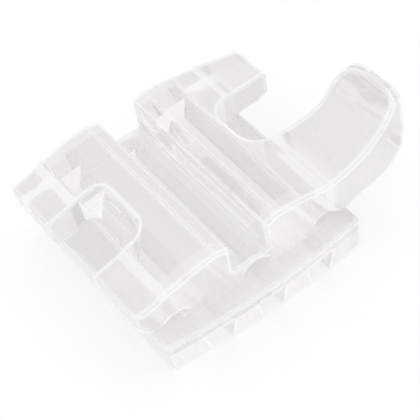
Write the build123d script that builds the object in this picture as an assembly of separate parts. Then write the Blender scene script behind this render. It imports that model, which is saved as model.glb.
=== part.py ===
import os
from math import radians, sqrt, tan

from build123d import *

# Every size is in millimetres. X runs along the archwire slot, +Y is the hook side and
# +Z the side that faces away from the tooth. The underside of the base teeth is Z = 0.

# Archwire slot
slot_width = 0.56
slot_depth = 0.70
lead_in_width = 0.19
lead_in_drop = 0.09
slot_edge_radius = 0.06
slot_corner_radius = 0.03

# Angle of the ends of the bracket against a square cut across the slot, in degrees
angulation = 6.0

# Base
base_length = 3.16
base_width = 3.26
base_thickness = 0.68
base_shift = 0.07
base_end_bulge = 0.10
base_corner_radius = 0.08
base_edge_radius = 0.05

# Retention grooves in the underside, each a dovetail along the slot
groove_count = 3
groove_pitch = 0.845
groove_shift = 0.01
groove_mouth = 0.29
groove_mouth_bevel = 0.025
groove_depth = 0.46
groove_flank_angle = 9.5

# Rows of tie wings on both sides of the slot
row_length = 2.88
row_shift = -0.03
row_top = 1.74
minus_tip_reach = 1.79
plus_tip_reach = 2.10
tip_corner_radius = 0.06
minus_tip_lower_radius = 0.22
plus_tip_lower_radius = 0.05
minus_tip_side_radius = 0.15
plus_tip_side_radius = 0.09
end_bevel = 0.04

# Facets of the facial side: distances from the slot centre and their slopes
first_crease = 0.90
band_start = 1.27
band_width = 0.12
inner_slope = 0.14
middle_slope = 0.26
band_slope = 0.50
outer_slope = 0.28

# Undercut below the wings, and the neck between the two undercuts
undercut_height = 0.30
minus_overhang = 0.74
plus_overhang = 1.05
minus_lip_width = 0.34
minus_lip_drop = 0.12
plus_lip_width = 0.53
plus_lip_drop = 0.19

# Channels that part the wings of each row
minus_channel_end = 0.855
minus_channel_inner_width = 1.02
minus_channel_mouth_width = 1.06
minus_channel_radius = 0.24
minus_channel_shift = -0.05
plus_channel_end = 0.97
plus_channel_inner_width = 0.83
plus_channel_mouth_width = 1.27
plus_channel_radius = 0.36
plus_channel_shift = -0.22
plus_channel_flare_length = 1.08

# Hook on one wing
hook_reach = 2.60
hook_top = 2.64
hook_back_bulge = 0.075
hook_tip_thickness = 0.14
hook_near_radius = 0.25
hook_far_radius = 0.62
hook_back_share = 0.62
hook_heel_share = 0.31
hook_heel_inset = 0.045
hook_sole_share = 0.137
hook_sole_inset = 0.29
hook_foot_overhang = 0.47
hook_foot_drop = 0.23

# Arched relief under each end of the slot
relief_radius = 0.21
relief_depth = 0.16
relief_shift = 0.06
relief_roof = 0.08

skew = tan(radians(angulation))
slot_floor = row_top - slot_depth
lead_in_edge = slot_width / 2 + lead_in_width
minus_neck = minus_tip_reach - minus_overhang
plus_neck = plus_tip_reach - plus_overhang
undercut_roof = base_thickness + undercut_height
far_away = 3 * max(base_length, plus_tip_reach)


def face_of(edges):
    return make_face(Curve() + edges)


def polygon(points):
    return make_face(Polyline(*points, close=True))


def rounded(face, corner, radius):
    vertex = face.vertices().sort_by_distance(Vector(*corner))[0]
    return fillet(vertex, radius)


def along_slot(section):
    return extrude(Plane.YZ * section, far_away / 2, both=True)


def plan_prism(x_start, x_end, y_start, y_end, z_start, z_end):
    corners = [(x_start, y_start), (x_end, y_start), (x_end, y_end), (x_start, y_end)]
    outline = polygon([(x + skew * y, y) for x, y in corners])
    return extrude(Pos(0, 0, z_start) * outline, z_end - z_start)


# Height of the facial side at a distance from the slot centre, facet by facet
def facial_height(distance):
    steps = [
        (lead_in_edge, first_crease, inner_slope),
        (first_crease, band_start, middle_slope),
        (band_start, band_start + band_width, band_slope),
        (band_start + band_width, far_away, outer_slope),
    ]
    height = row_top
    for start, end, slope in steps:
        height -= slope * max(0.0, min(distance, end) - start)
    return height


def facial_points(reach):
    stations = [lead_in_edge, first_crease, band_start, band_start + band_width, reach]
    return [(s, facial_height(s)) for s in stations]


def base_body():
    half_x = base_length / 2
    half_y = base_width / 2
    near = [(half_x + skew * y, y) for y in (-half_y, half_y)]
    far = [(-half_x + skew * y, y) for y in (half_y, -half_y)]
    outline = face_of([
        Line(far[1], near[0]),
        ThreePointArc(near[0], (half_x + base_end_bulge, 0), near[1]),
        Line(near[1], far[0]),
        ThreePointArc(far[0], (-half_x - base_end_bulge, 0), far[1]),
    ])
    outline = fillet(outline.vertices(), base_corner_radius)
    body = Pos(base_shift, 0, 0) * extrude(outline, base_thickness)
    top_edges = body.faces().sort_by(Axis.Z)[-1].edges()
    return fillet(top_edges, base_edge_radius)


def retention_grooves():
    lean = groove_depth * tan(radians(groove_flank_angle))
    half = groove_mouth / 2
    section = polygon([
        (-half - groove_mouth_bevel, 0),
        (half + groove_mouth_bevel, 0),
        (half, groove_mouth_bevel),
        (half + lean, groove_depth),
        (-half - lean, groove_depth),
        (-half, groove_mouth_bevel),
    ])
    first = groove_shift - groove_pitch * (groove_count - 1) / 2
    cutters = [along_slot(Pos(first + i * groove_pitch, 0) * section) for i in range(groove_count)]
    return Compound(cutters)


# Points of one half section from the middle of the slot to the band start, as (distance, height)
def half_top():
    tops = facial_points(band_start)[:3]
    return [(0, base_thickness / 2), (0, row_top), (lead_in_edge, row_top)] + tops[1:]


# Lower side of the short row's lip from the wing tip to the undercut's roof, as
# (distance, height): a level run and then a rise at 45 degrees
def minus_lip():
    bottom = undercut_roof - minus_lip_drop
    inner = minus_tip_reach - minus_lip_width
    return [(minus_tip_reach, bottom), (inner, bottom), (inner - minus_lip_drop, undercut_roof)]


# Lower side of the plain wing next to the hook: one slope from the wing tip to the roof
def plus_lip():
    inner = plus_tip_reach - plus_lip_width
    return [(plus_tip_reach, undercut_roof - plus_lip_drop), (inner, undercut_roof)]


# Foot of the hook's back and the rise from it to the undercut's roof
def hook_lip():
    foot = plus_neck + hook_foot_overhang
    return [(foot, undercut_roof - hook_foot_drop), (foot - hook_foot_drop, undercut_roof)]


# The undercut: from the start of its roof in to its round end and down into the base
def half_bottom(side, roof_start):
    round_radius = undercut_height / 2
    neck = plus_neck if side > 0 else minus_neck
    inner = neck + round_radius
    return [
        Line((side * roof_start, undercut_roof), (side * inner, undercut_roof)),
        ThreePointArc(
            (side * inner, undercut_roof),
            (side * neck, undercut_roof - round_radius),
            (side * inner, base_thickness),
        ),
        Line((side * inner, base_thickness), (side * inner, base_thickness / 2)),
        Line((side * inner, base_thickness / 2), (0, base_thickness / 2)),
    ]


# Half of the cross section of the rows: side is +1 or -1, lip is the lower side of the wing
def half_section(side, lip, lower_radius):
    reach, tip_bottom = lip[0]
    points = half_top() + facial_points(reach)[3:] + lip
    points = [(side * y, z) for y, z in points]
    edges = [Line(a, b) for a, b in zip(points, points[1:])]
    section = face_of(edges + half_bottom(side, lip[-1][0]))
    section = rounded(section, (side * reach, facial_height(reach)), tip_corner_radius)
    return rounded(section, (side * reach, tip_bottom), lower_radius)


# Back of the hook, from the tip down over the heel and along the sole to the foot
def hook_back(outer_tip):
    foot_y, foot_z = hook_lip()[0]
    rise = hook_top - foot_z
    sole_y = hook_reach - hook_sole_inset
    sole_rise = hook_sole_share * rise
    return Spline(
        outer_tip,
        (hook_reach, foot_z + hook_back_share * rise),
        (hook_reach - hook_heel_inset, foot_z + hook_heel_share * rise),
        (sole_y, foot_z + sole_rise),
        ((sole_y + foot_y) / 2, foot_z + 0.4 * sole_rise),
        (foot_y, foot_z),
    )


# Half section through the wing that carries the hook. The curl is an arc that leaves
# the wing level and ends upright at the tip.
def hook_half_section():
    start = (band_start, facial_height(band_start))
    curl_top = hook_top - hook_tip_thickness / 3
    rise = curl_top - start[1]
    run = hook_reach - hook_back_bulge - hook_tip_thickness - band_start
    curl_radius = (run**2 + rise**2) / (2 * rise)
    half_run = run * 0.7
    middle_height = start[1] + curl_radius - sqrt(curl_radius**2 - half_run**2)
    inner_tip = (start[0] + run, curl_top)
    outer_tip = (inner_tip[0] + hook_tip_thickness, curl_top)
    points = half_top()
    edges = [Line(a, b) for a, b in zip(points, points[1:])]
    edges += [
        ThreePointArc(start, (start[0] + half_run, middle_height), inner_tip),
        ThreePointArc(inner_tip, ((inner_tip[0] + outer_tip[0]) / 2, hook_top), outer_tip),
        hook_back(outer_tip),
        Line(*hook_lip()),
    ]
    return face_of(edges + half_bottom(1, hook_lip()[-1][0]))


# One side of the neck's outline from the channel's inner end down to the base, as edges
def neck_side(side, channel_end, neck):
    round_radius = undercut_height / 2
    middle = base_thickness + round_radius
    foot = neck + round_radius
    diagonal = round_radius / sqrt(2)
    rim = (side * channel_end, facial_height(channel_end))
    return [
        Line((side * channel_end, far_away), rim),
        Line(rim, (side * neck, middle)),
        ThreePointArc(
            (side * neck, middle),
            (side * (foot - diagonal), middle - diagonal),
            (side * foot, base_thickness),
        ),
        Line((side * foot, base_thickness), (side * foot, 0)),
    ]


# Section of the neck, which also closes the inner end of each channel with a sloping wall
def neck_section():
    minus = neck_side(-1, minus_channel_end, minus_neck)
    plus = neck_side(1, plus_channel_end, plus_neck)
    top = Line((-minus_channel_end, far_away), (plus_channel_end, far_away))
    bottom = Line(minus[-1] @ 1, plus[-1] @ 1)
    return face_of(minus + plus + [top, bottom])


# Plan of a channel: a U with flared sides and rounded inner corners, open to the outside
def channel_plan(side, inner_end, flare_length, inner_width, mouth_width, shift, corner_radius):
    mouth = inner_end + flare_length
    lean = skew * side
    corners = [
        (shift + lean * inner_end - inner_width / 2, inner_end),
        (shift + lean * inner_end + inner_width / 2, inner_end),
        (shift + lean * mouth + mouth_width / 2, mouth),
        (shift + lean * mouth + mouth_width / 2, far_away),
        (shift + lean * mouth - mouth_width / 2, far_away),
        (shift + lean * mouth - mouth_width / 2, mouth),
    ]
    outline = polygon([(x, side * y) for x, y in corners])
    for x, y in corners[:2]:
        outline = rounded(outline, (x, side * y), corner_radius)
    return outline


def channel_cutter(outline):
    prism = extrude(Pos(0, 0, base_thickness) * outline, far_away)
    return prism - along_slot(neck_section())


def minus_channel():
    outline = channel_plan(
        -1,
        minus_channel_end,
        minus_tip_reach - minus_channel_end,
        minus_channel_inner_width,
        minus_channel_mouth_width,
        minus_channel_shift,
        minus_channel_radius,
    )
    return channel_cutter(outline)


def plus_channel():
    outline = channel_plan(
        1,
        plus_channel_end,
        plus_channel_flare_length,
        plus_channel_inner_width,
        plus_channel_mouth_width,
        plus_channel_shift,
        plus_channel_radius,
    )
    return channel_cutter(outline)


def slot_section():
    half = slot_width / 2
    return polygon([
        (-half, slot_floor),
        (half, slot_floor),
        (half, row_top - lead_in_drop),
        (lead_in_edge, row_top),
        (lead_in_edge, far_away),
        (-lead_in_edge, far_away),
        (-lead_in_edge, row_top),
        (-half, row_top - lead_in_drop),
    ])


# Cross section of the rows with the slot in it and the slot's edges and corners rounded
def rows_section():
    section = hook_half_section() + half_section(-1, minus_lip(), minus_tip_lower_radius)
    section = section - slot_section()
    half = slot_width / 2
    for side in (-1, 1):
        section = rounded(section, (side * lead_in_edge, row_top), slot_edge_radius)
        section = rounded(section, (side * half, row_top - lead_in_drop), slot_edge_radius)
        section = rounded(section, (side * half, slot_floor), slot_corner_radius)
    return section


# Bar with a round taken out, which rounds one top corner of the hook
def corner_bar(side_x, direction, radius):
    x = side_x - direction * radius
    bar = Pos(x + direction * radius, 0, hook_top) * Box(2 * radius, far_away, 2 * radius)
    round_bar = Pos(x, 0, hook_top - radius) * Rot(90, 0, 0) * Cylinder(radius, far_away)
    return bar - round_bar


# Everything that the plain wing next to the hook lacks against the wing with the hook
def plain_wing_trim():
    block = plan_prism(-far_away, 0, band_start - 0.1, far_away, 0, far_away)
    return block - along_slot(half_section(1, plus_lip(), plus_tip_lower_radius))


def hook_tip_trim():
    near_side = row_shift + row_length / 2 + skew * (hook_reach - hook_tip_thickness)
    mouth = plus_channel_end + plus_channel_flare_length
    far_side = plus_channel_shift + skew * mouth + plus_channel_mouth_width / 2
    near_bar = corner_bar(near_side, 1, hook_near_radius)
    return near_bar + corner_bar(far_side, -1, hook_far_radius)


def relief_cutters():
    bar = Rot(0, 90, 0) * Cylinder(relief_radius, 2 * relief_depth)
    height = slot_floor - relief_radius - relief_roof
    shifts = (row_shift - row_length / 2, row_shift + row_length / 2)
    return Compound([Pos(x, relief_shift, height) * bar for x in shifts])


def rows_body():
    x_start = row_shift - row_length / 2
    block = plan_prism(x_start, x_start + row_length, -far_away / 2, far_away / 2, 0, far_away)
    return along_slot(rows_section()) & block


# Round taken off a wing's tip where it meets an end face: end is +1 or -1 along the slot,
# side is +1 or -1 across it
def tip_side_trim(end, side, reach, r):
    y = side * reach
    x = row_shift + end * row_length / 2 + skew * y
    inset = r * (1 - sqrt(0.5))
    arc_start = (x - end * r, y)
    arc_end = (x - side * skew * r, y - side * r)
    out_x = x + end * 2 * r
    out_y = y + side * 2 * r
    edges = [
        ThreePointArc(arc_start, (x - end * inset, y - side * inset), arc_end),
        Line(arc_end, (out_x, arc_end[1])),
        Line((out_x, arc_end[1]), (out_x, out_y)),
        Line((out_x, out_y), (arc_start[0], out_y)),
        Line((arc_start[0], out_y), arc_start),
    ]
    return extrude(face_of(edges), row_top, dir=(0, 0, 1))


def tip_side_trims():
    minus_trim = tip_side_trim(1, -1, minus_tip_reach, minus_tip_side_radius)
    return minus_trim + tip_side_trim(-1, 1, plus_tip_reach, plus_tip_side_radius)


# Small bevel along the facial edges of both end faces
def bevel_ends(body):
    ends = body.faces().filter_by(lambda f: abs(f.normal_at().X) > 0.98)
    edges = [e for f in ends for e in f.edges() if e.center().Z > slot_floor + 0.01]
    return chamfer(edges, end_bevel)


def bracket():
    body = bevel_ends(rows_body())
    body = body - plain_wing_trim() - hook_tip_trim() - tip_side_trims()
    body = body - minus_channel() - plus_channel()
    body = body - relief_cutters()
    body = body + base_body()
    return body - retention_grooves()


os.makedirs("parts", exist_ok=True)
export_step(bracket(), "parts/bracket_body.step")
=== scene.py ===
import math

import bmesh
import bpy
from mathutils import Matrix, Vector


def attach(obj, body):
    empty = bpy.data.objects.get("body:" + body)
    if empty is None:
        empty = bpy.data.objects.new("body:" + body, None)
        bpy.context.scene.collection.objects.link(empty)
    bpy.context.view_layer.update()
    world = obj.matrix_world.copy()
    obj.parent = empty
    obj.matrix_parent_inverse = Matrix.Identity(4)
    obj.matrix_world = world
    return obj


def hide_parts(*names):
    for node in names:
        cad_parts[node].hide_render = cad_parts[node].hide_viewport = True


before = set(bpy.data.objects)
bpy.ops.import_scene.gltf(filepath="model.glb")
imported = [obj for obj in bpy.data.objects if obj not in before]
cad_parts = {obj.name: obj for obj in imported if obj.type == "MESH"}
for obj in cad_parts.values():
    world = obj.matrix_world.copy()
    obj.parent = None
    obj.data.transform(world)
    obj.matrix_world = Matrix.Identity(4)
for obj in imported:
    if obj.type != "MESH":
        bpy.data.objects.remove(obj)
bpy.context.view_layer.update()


# A wire is an output socket, and sums on it add Math nodes to its tree

class Wire:

    def __init__(self, tree, socket):
        self.tree = tree
        self.socket = socket

    def maths(self, operation, first, second=0.0):
        node = self.tree.nodes.new("ShaderNodeMath")
        node.operation = operation
        for index, value in enumerate((first, second)):
            if isinstance(value, Wire):
                self.tree.links.new(value.socket, node.inputs[index])
            else:
                node.inputs[index].default_value = value
        return Wire(self.tree, node.outputs[0])

    def __add__(self, other):
        return self.maths("ADD", self, other)

    def __radd__(self, other):
        return self.maths("ADD", other, self)

    def __sub__(self, other):
        return self.maths("SUBTRACT", self, other)

    def __rsub__(self, other):
        return self.maths("SUBTRACT", other, self)

    def __mul__(self, other):
        return self.maths("MULTIPLY", self, other)

    def __rmul__(self, other):
        return self.maths("MULTIPLY", other, self)

    def __abs__(self):
        return self.maths("ABSOLUTE", self)

    # One where this wire is over the limit, and zero elsewhere
    def over(self, limit):
        return self.maths("GREATER_THAN", self, limit)

    def under(self, limit):
        return self.maths("LESS_THAN", self, limit)

    def orMore(self, other):
        return self.maths("MAXIMUM", self, other)


# The node tree of a material or a world, with one method for any node

class Paint:

    def __init__(self, owner, outputKind):
        owner.use_nodes = True
        self.owner = owner
        self.tree = owner.node_tree
        self.tree.nodes.clear()
        self.output = self.tree.nodes.new("ShaderNode" + outputKind)

    def node(self, kind, settings=None, inputs=None, output=0):
        node = self.tree.nodes.new("ShaderNode" + kind)
        for key, value in (settings or {}).items():
            if key == "stops":
                self.setStops(node.color_ramp, value)
            else:
                setattr(node, key, value)
        for key, value in (inputs or {}).items():
            if isinstance(value, Wire):
                self.tree.links.new(value.socket, node.inputs[key])
            else:
                node.inputs[key].default_value = value
        return Wire(self.tree, node.outputs[output])

    # Grey stops of a colour ramp, as pairs of place and brightness
    def setStops(self, ramp, stops):
        while len(ramp.elements) < len(stops):
            ramp.elements.new(1.0)
        for element, (spot, value) in zip(ramp.elements, stops):
            element.position = spot
            element.color = (value, value, value, 1)

    # The three parts of a vector
    def split(self, vector):
        node = self.tree.nodes.new("ShaderNodeSeparateXYZ")
        self.tree.links.new(vector.socket, node.inputs[0])
        return [Wire(self.tree, socket) for socket in node.outputs]

    # A wire kept between 0 and 1
    def clamp(self, wire):
        return self.node("Clamp", {}, {"Value": wire})

    # Goes from 0 to 1 between two values, with soft ends
    def rise(self, wire, start, end):
        return self.node("MapRange", {"interpolation_type": "SMOOTHSTEP"}, {
            0: wire, 1: start, 2: end})

    # A colour that goes from the first to the second as the factor goes from 0 to 1
    def blend(self, factor, first, second):
        return self.node("Mix", {"data_type": "RGBA"}, {
            "Factor": factor, 6: first, 7: second}, output=2)

    def noise(self, place, scale, detail):
        return self.node("TexNoise", {"noise_dimensions": "3D"}, {
            "Vector": place, "Scale": scale, "Detail": detail})

    def finish(self, surface):
        self.tree.links.new(surface.socket, self.output.inputs["Surface"])
        return self.owner


# Camera

cameraPlace = {
    "eye": (7.5941e-3, -3.8653e-3, 14.3669e-3),
    "right": (0.642470, 0.756709, -0.120927),
    "up": (-0.613623, 0.602536, 0.510311),
    "focalPixels": 1126.474,
    "imagePixels": 420,
    "sensorWidth": 36.0,
    "nearest": 0.001,
    "farthest": 10.0,
}


def makeCamera(place):
    data = bpy.data.cameras.new("camera")
    data.sensor_width = place["sensorWidth"]
    data.lens = place["focalPixels"] * place["sensorWidth"] / place["imagePixels"]
    data.clip_start = place["nearest"]
    data.clip_end = place["farthest"]
    right = Vector(place["right"]).normalized()
    up = Vector(place["up"]).normalized()
    back = right.cross(up).normalized()
    turn = Matrix((right, up, back)).transposed().to_4x4()
    cameraObject = bpy.data.objects.new("camera", data)
    cameraObject.matrix_world = Matrix.Translation(Vector(place["eye"])) @ turn
    bpy.context.scene.collection.objects.link(cameraObject)
    bpy.context.scene.camera = cameraObject


makeCamera(cameraPlace)
print("camera placed")


# Clear crystal, with a painted highlight as a light band along its edges.
# Lengths are in metres: x runs along the slot, y across it to the hook, z up from the tooth

crystal = {
    "index": 1.3,
    "tint": (0.935, 0.928, 0.914, 1),
    "tintCloudy": (0.925, 0.917, 0.902, 1),
    "cloudScale": 900.0,
    "cloudDetail": 3.0,
    "roughness": 0.03,
    "roughnessSpread": 0.06,
    "polishScale": 5200.0,
    "polishDetail": 4.0,
    "polishHeight": 0.04,
    "polishDepth": 2e-6,
    # Base: grooved part below groovesTop, and its top face below baseTop
    "groovesTop": 4.8e-4,
    "baseTop": 6.9e-4,
    "baseTint": (0.985, 0.980, 0.972, 1),
    # Painted shade on the level faces of the grooved part
    "groovedShadeTint": (0.925, 0.900, 0.916, 1),
    # Painted shade on the base's top between the row ends
    "shelfShadeTint": (0.868, 0.850, 0.862, 1),
    "levelFrom": 0.7,
    "endFaceFrom": 0.8,
    # Painted edge highlight: band width, and how fast the bands set in
    "edgeSamples": 12,
    "edgeBand": 1.1e-4,
    "edgeGain": 60.0,
    "highlightStrength": 0.8,
    "edgeRoughness": 0.35,
    "edgeHighlightTint": (1.0, 1.0, 1.0, 1),
    "coreShadeTint": (0.86, 0.84, 0.86, 1),
    "coreStart": 0.20,
    "coreGain": 20.0,
    "hollowReach": 2.4e-4,
    "hollowGain": 10.0,
    # Hook with painted shade, and plain wing
    "hookStart": 1.30e-3,
    "hookEnd": 1.62e-3,
    "hookShadeTint": (0.855, 0.847, 0.823, 1),
    "hookHazeShade": (0.82, 0.812, 0.792, 1),
    # Haze on the rows, as pairs of y and strength
    "hazeTint": (0.96, 0.955, 0.938, 1),
    "hazeProfile": [(-1.9e-3, 0.40), (-1.41e-3, 0.40), (-1.39e-3, 0.80), (-1.27e-3, 0.80),
                    (-1.25e-3, 0.0), (-0.30e-3, 0.0), (-0.27e-3, 0.10), (0.27e-3, 0.10),
                    (0.30e-3, 0.0), (0.87e-3, 0.0), (0.92e-3, 0.42), (1.26e-3, 0.42),
                    (1.275e-3, 0.80), (1.385e-3, 0.80), (1.40e-3, 0.50), (2.7e-3, 0.50)],
    # Row ends: the rows lean, and start to end this far from their middle
    "lean": 0.105,
    "rowMiddle": -3e-5,
    "endStart": 1.19e-3,
    "endFull": 1.25e-3,
    "endHaze": 0.36,
    "endTint": (0.81, 0.80, 0.785, 1),
    "slotMiddle": 0.0,
    "tabHaze": 0.30,
    "shelfHaze": 0.45,
    # Polishing marks
    "markTurn": math.radians(-135),
    "markScale": (900.0, 14000.0, 2500.0),
    "markDetail": 2.0,
    "markMiddle": 0.5,
    "markDepth": 0.30,
}


def makeCrystal(values):
    paint = Paint(bpy.data.materials.new("clearCrystal"), "OutputMaterial")
    place = paint.node("TexCoord", output="Object")
    flat = paint.node("NewGeometry", output="Normal")
    outside = 1.0 - paint.node("NewGeometry", output="Backfacing")
    lengthwise, across, height = paint.split(place)
    facing = paint.split(flat)

    # Masks of one on a part of the bracket, and zero elsewhere
    above = height.over(values["baseTop"])
    low = height.under(values["groovesTop"])
    level = abs(facing[2]).over(values["levelFrom"])
    shelf = (1.0 - above) * (1.0 - low) * level
    endFace = abs(facing[0]).over(values["endFaceFrom"])
    hookSide = paint.rise(across, values["hookStart"], values["hookEnd"])
    fromMiddle = abs(lengthwise - values["lean"] * across - values["rowMiddle"])
    rowEnd = paint.rise(fromMiddle, values["endStart"], values["endFull"])

    # Bend is one minus the dot product of the face's own normal and a rounded one. It grows from
    # zero towards an edge, which makes the band of painted highlight and, at the edge itself, a
    # darker core
    rounded = paint.node("Bevel", {"samples": values["edgeSamples"]}, {
        "Radius": values["edgeBand"]})
    bend = 1.0 - paint.node("VectorMath", {"operation": "DOT_PRODUCT"}, {
        0: rounded, 1: flat}, output="Value")
    edge = paint.clamp(values["edgeGain"] * bend)
    core = paint.clamp(values["coreGain"] * (bend - values["coreStart"]))
    # Short rays find a hollow corner closed in, and only edges that stand out get the painted
    # highlight
    openness = paint.node("AmbientOcclusion", {
        "samples": values["edgeSamples"], "only_local": True}, {
        "Distance": values["hollowReach"]}, output="AO")
    highlightMask = edge * paint.clamp(1.0 - values["hollowGain"] * (1.0 - openness))

    # Tint of the clear crystal, with painted shade past the base on the hook, on the base's top
    # between the row ends, and on the level faces under the base and over its grooves
    clouds = paint.noise(place, values["cloudScale"], values["cloudDetail"])
    tint = paint.blend(clouds, values["tint"], values["tintCloudy"])
    # Painted highlight: the clear tint turns white along the edges
    tint = paint.blend(edge, tint, values["edgeHighlightTint"])
    # Painted shade on the hook side, for the darker floor seen through it
    tint = paint.blend(hookSide, tint, values["hookShadeTint"])
    tint = paint.blend(low, tint, values["baseTint"])
    # Painted shade on the base's top between the row ends
    tint = paint.blend(shelf * (1.0 - rowEnd), tint, values["shelfShadeTint"])
    # Painted shade on the level faces under the base and over its grooves, for the shadowed floor
    # seen through them
    tint = paint.blend(low * level, tint, values["groovedShadeTint"])
    polish = paint.noise(place, values["polishScale"], values["polishDetail"])
    bump = paint.node("Bump", {}, {
        "Height": polish, "Strength": values["polishHeight"], "Distance": values["polishDepth"]})
    clear = paint.node("BsdfPrincipled", {}, {
        "Base Color": tint,
        "Roughness": values["roughness"] + values["roughnessSpread"] * (polish * clouds),
        "IOR": values["index"],
        "Transmission Weight": 1.0,
        "Normal": bump,
    })

    # Haze: wings are hazier than the middle and their raised bands are palest, row ends and the
    # ends of the base have some too, and fine marks run slantwise through it
    first, last = values["hazeProfile"][0][0], values["hazeProfile"][-1][0]
    along = (1.0 / (last - first)) * (across - first)
    stops = [((y - first) / (last - first), haze) for y, haze in values["hazeProfile"]]
    wings = paint.node("ValToRGB", {"stops": stops}, {0: along})
    rows = wings.orMore(values["endHaze"] * rowEnd)
    base = endFace * (values["endHaze"] + values["tabHaze"] * low)
    base = base + values["shelfHaze"] * (shelf * rowEnd)
    slant = paint.node("Mapping", {}, {
        "Vector": place, "Rotation": (0, 0, values["markTurn"]), "Scale": values["markScale"]})
    marks = paint.noise(slant, 1.0, values["markDetail"])
    depth = hookSide.orMore(rowEnd) * values["markDepth"]
    marked = 1.0 - depth * (marks - values["markMiddle"])
    haze = (above * rows + (1.0 - above) * base) * marked
    # Painted highlight along the edges, laid over the haze
    hazeAndHighlight = haze.orMore(values["highlightStrength"] * highlightMask)

    # Colour of haze and painted edge highlight: darker on the short row's end faces, painted shade
    # on the hook
    shortRow = across.under(values["slotMiddle"])
    hazeTint = paint.blend((1.0 - low) * endFace * shortRow, values["hazeTint"], values["endTint"])
    hazeTint = paint.blend(hookSide, hazeTint, values["hookHazeShade"])
    # A darker core of painted shade runs along the middle of the painted edge highlight
    edgeHighlightTint = paint.blend(core, values["edgeHighlightTint"], values["coreShadeTint"])
    # A rough diffuse layer shows the haze and the painted edge highlight
    hazeHighlightShader = paint.node("BsdfPrincipled", {}, {
        "Base Color": paint.blend(highlightMask, hazeTint, edgeHighlightTint),
        "Roughness": values["edgeRoughness"],
        "IOR": values["index"],
    })
    return paint.finish(paint.node("MixShader", {}, {0: hazeAndHighlight * outside, 1: clear, 2: hazeHighlightShader}))


crystalMaterial = makeCrystal(crystal)
print("crystal made")


# Bracket body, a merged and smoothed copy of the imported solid

bracketFinish = {
    "mergeDistance": 1e-7,
    "smoothAngle": math.radians(28),
}


def makeBracket(values):
    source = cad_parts["bracket_body"]
    mesh = bpy.data.meshes.new("bracketCrystal")
    shape = bmesh.new()
    shape.from_mesh(source.data)
    bmesh.ops.remove_doubles(shape, verts=shape.verts, dist=values["mergeDistance"])
    for face in shape.faces:
        face.smooth = True
    for edge in shape.edges:
        edge.smooth = edge.calc_face_angle(0.0) < values["smoothAngle"]
    shape.to_mesh(mesh)
    shape.free()
    piece = bpy.data.objects.new("bracketCrystal", mesh)
    bpy.context.scene.collection.objects.link(piece)
    piece.data.materials.append(crystalMaterial)
    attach(piece, "root")
    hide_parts("bracket_body")
    return piece


bracket = makeBracket(bracketFinish)
print("bracket made", len(bracket.data.polygons), "faces")


# Floor and soft white surroundings

studio = {
    "floorRadius": 0.30,
    "floorDrop": 2e-6,
    "floorGlow": 0.66,
    "floorColour": 0.36,
    "skyLight": [(0.0, 1.0), (0.25, 1.0), (0.8, 0.97)],  # pairs of height and brightness
    "bounces": 32,
}


def makeFloor(values):
    size = values["floorRadius"]
    drop = -values["floorDrop"]
    mesh = bpy.data.meshes.new("floor")
    points = [(-size, -size, drop), (size, -size, drop), (size, size, drop), (-size, size, drop)]
    mesh.from_pydata(points, [], [(0, 1, 2, 3)])
    floor = bpy.data.objects.new("floor", mesh)
    bpy.context.scene.collection.objects.link(floor)
    paint = Paint(bpy.data.materials.new("paleFloor"), "OutputMaterial")
    shade = values["floorColour"]
    diffuse = paint.node("BsdfDiffuse", {}, {"Color": (shade, shade, shade, 1)})
    glow = paint.node("Emission", {}, {"Color": (1, 1, 1, 1), "Strength": values["floorGlow"]})
    mesh.materials.append(paint.finish(paint.node("AddShader", {}, {0: diffuse, 1: glow})))


def makeWorld(values):
    paint = Paint(bpy.data.worlds.new("studio"), "OutputWorld")
    height = paint.split(paint.node("TexCoord", output="Generated"))[2]
    sky = paint.node("ValToRGB", {"stops": values["skyLight"]}, {0: height})
    bpy.context.scene.world = paint.finish(paint.node("Background", {}, {0: sky}))


makeFloor(studio)
makeWorld(studio)
bpy.context.scene.view_settings.view_transform = "Standard"
for kind in ("max", "transmission", "glossy", "diffuse"):
    setattr(bpy.context.scene.cycles, kind + "_bounces", studio["bounces"])
print("studio made")
